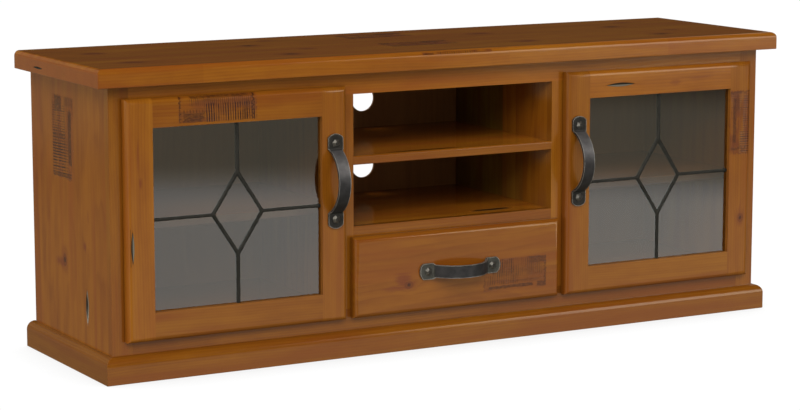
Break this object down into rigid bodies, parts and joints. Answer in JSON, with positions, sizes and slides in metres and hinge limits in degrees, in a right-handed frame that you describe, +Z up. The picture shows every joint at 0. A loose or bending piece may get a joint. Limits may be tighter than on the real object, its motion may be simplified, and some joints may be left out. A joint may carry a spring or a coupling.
{
  "type": "tv unit",
  "caption": "Low rustic stained-pine TV cabinet: leaded-glass side doors, open centre shelves over a drawer, forged strap handles, thick rounded top and moulded plinth.",
  "frame": {"origin": "centre of the whole part's box in plan, handles included, on the floor", "axes": "+Z up, -Y towards the front with the doors and drawer, +X to the right seen from the front"},
  "size_m": [1.69, 0.4996, 0.65],
  "materials": {
    "stained_pine": "amber-brown stained pine with knots and distress marks, satin lacquer",
    "plain_pine": "unstained pine, sanded",
    "back_board": "stained thin board",
    "glass": "clear float glass with a slight grey tint",
    "lead": "dark patinated lead strip",
    "forged_iron": "dark waxed forged iron, worn lighter on the edges",
    "zinc_steel": "zinc plated steel"
  },
  "bodies": {
    "cabinet": {"back_panel": "back_board", "base_rails": "plain_pine", "bay_shelf_left": "stained_pine", "bay_shelf_right": "stained_pine", "bottom_panel": "stained_pine", "drawer_rail": "stained_pine", "face_bottom_rail": "stained_pine", "face_stile_left": "stained_pine", "face_stile_right": "stained_pine", "face_top_rail": "stained_pine", "hinge_arms": "zinc_steel", "hinge_plates": "zinc_steel", "lower_shelf": "stained_pine", "mid_shelf": "stained_pine", "mullion_left": "stained_pine", "mullion_right": "stained_pine", "partition_left": "stained_pine", "partition_right": "stained_pine", "plinth_front": "stained_pine", "plinth_left": "stained_pine", "plinth_right": "stained_pine", "runner_channels": "zinc_steel", "shelf_pins": "zinc_steel", "side_panel_left": "stained_pine", "side_panel_right": "stained_pine", "top_cleats": "plain_pine", "top_panel": "stained_pine", "wood_screws": "zinc_steel"},
    "left_door": {"left_door_bottom_rail": "stained_pine", "left_door_glass": "glass", "left_door_glazing_beads": "stained_pine", "left_door_handle": "forged_iron", "left_door_handle_bolts": "forged_iron", "left_door_hinge_cups": "zinc_steel", "left_door_hinge_pins": "zinc_steel", "left_door_hinge_stile": "stained_pine", "left_door_lead_came": "lead", "left_door_lock_stile": "stained_pine", "left_door_top_rail": "stained_pine"},
    "right_door": {"right_door_bottom_rail": "stained_pine", "right_door_glass": "glass", "right_door_glazing_beads": "stained_pine", "right_door_handle": "forged_iron", "right_door_handle_bolts": "forged_iron", "right_door_hinge_cups": "zinc_steel", "right_door_hinge_pins": "zinc_steel", "right_door_hinge_stile": "stained_pine", "right_door_lead_came": "lead", "right_door_lock_stile": "stained_pine", "right_door_top_rail": "stained_pine"},
    "drawer": {"drawer_back": "plain_pine", "drawer_bottom": "plain_pine", "drawer_box_front": "plain_pine", "drawer_front": "stained_pine", "drawer_handle": "forged_iron", "drawer_handle_bolts": "forged_iron", "drawer_runners": "zinc_steel", "drawer_screws": "zinc_steel", "drawer_side_left": "plain_pine", "drawer_side_right": "plain_pine"}
  },
  "joints": [
    {"name": "left_door_hinge", "type": "hinge", "parent": "cabinet", "child": "left_door", "pos_m": [-0.7755, -0.19325, 0.334], "axis": [0, 0, -1], "range_deg": [0, 105]},
    {"name": "right_door_hinge", "type": "hinge", "parent": "cabinet", "child": "right_door", "pos_m": [0.7755, -0.19325, 0.334], "axis": [0, 0, 1], "range_deg": [0, 105]},
    {"name": "drawer_slide", "type": "slide", "parent": "cabinet", "child": "drawer", "axis": [0, -1, 0], "range_m": [0, 0.28]}
  ]
}
